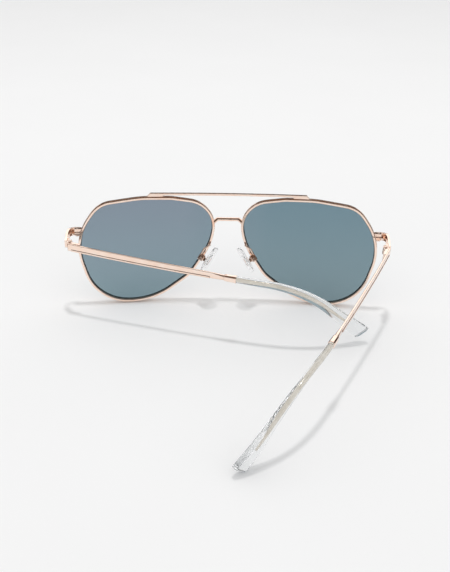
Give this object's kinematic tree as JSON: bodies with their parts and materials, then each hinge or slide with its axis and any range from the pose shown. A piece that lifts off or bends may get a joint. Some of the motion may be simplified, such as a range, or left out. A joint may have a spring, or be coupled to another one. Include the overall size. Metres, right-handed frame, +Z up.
{
  "type": "aviator sunglasses",
  "caption": "Metal aviator sunglasses with a brow bar over a low bridge, dark lenses, folding temples with clear tips, and nose pads that rock.",
  "frame": {"origin": "on the table under the middle of the whole box of the glasses as they stand, left temple folded most of the way and right temple a little", "axes": "+X along the front from the left hinge to the right hinge as the wearer sees it, +Y the way the wearer looks, +Z up"},
  "size_m": [0.1416, 0.1284, 0.0503],
  "materials": {
    "rose_gold": "polished rose gold plating",
    "lens": "tinted blue grey, smooth and polished",
    "clear_acetate": "clear, polished",
    "clear_pad": "clear, slightly soft"
  },
  "bodies": {
    "front": {"brow_bar": "rose_gold", "bridge": "rose_gold", "rim_left": "rose_gold", "lens_left": "lens", "rim_lock_upper_left": "rose_gold", "rim_lock_lower_left": "rose_gold", "rim_lock_screw_left": "rose_gold", "pad_arm_left": "rose_gold", "pad_box_left": "rose_gold", "pad_screw_left": "rose_gold", "hinge_leaf_front_left": "rose_gold", "hinge_screw_left": "rose_gold", "endpiece_left": "rose_gold", "rim_right": "rose_gold", "lens_right": "lens", "rim_lock_upper_right": "rose_gold", "rim_lock_lower_right": "rose_gold", "rim_lock_screw_right": "rose_gold", "pad_arm_right": "rose_gold", "pad_box_right": "rose_gold", "pad_screw_right": "rose_gold", "hinge_leaf_front_right": "rose_gold", "hinge_screw_right": "rose_gold", "endpiece_right": "rose_gold"},
    "temple_left": {"hinge_leaf_temple_left": "rose_gold", "temple_bar_left": "rose_gold", "ferrule_left": "rose_gold", "core_wire_left": "rose_gold", "temple_tip_left": "clear_acetate"},
    "temple_right": {"hinge_leaf_temple_right": "rose_gold", "temple_bar_right": "rose_gold", "ferrule_right": "rose_gold", "core_wire_right": "rose_gold", "temple_tip_right": "clear_acetate"},
    "nose_pad_left_rocker": {"nose_pad_left": "clear_pad", "pad_insert_left": "rose_gold"},
    "nose_pad_right_rocker": {"nose_pad_right": "clear_pad", "pad_insert_right": "rose_gold"}
  },
  "joints": [
    {"name": "temple_left_fold", "type": "hinge", "parent": "front", "child": "temple_left", "pos_m": [-0.06855, 0.04942, 0.03052], "axis": [0, -0.0506, 0.9987], "range_deg": [-71.65, 12.35]},
    {"name": "temple_right_fold", "type": "hinge", "parent": "front", "child": "temple_right", "pos_m": [0.06855, 0.04942, 0.03052], "axis": [0, 0.1478, -0.989], "range_deg": [-23.15, 52.85]},
    {"name": "nose_pad_left_rock", "type": "hinge", "parent": "front", "child": "nose_pad_left_rocker", "pos_m": [-0.01125, 0.05579, 0.02218], "axis": [0.2962, 0.9113, -0.2858], "range_deg": [-8, 8]},
    {"name": "nose_pad_right_rock", "type": "hinge", "parent": "front", "child": "nose_pad_right_rocker", "pos_m": [0.01125, 0.05579, 0.02218], "axis": [0.2962, -0.9113, 0.2858], "range_deg": [-8, 8]}
  ]
}
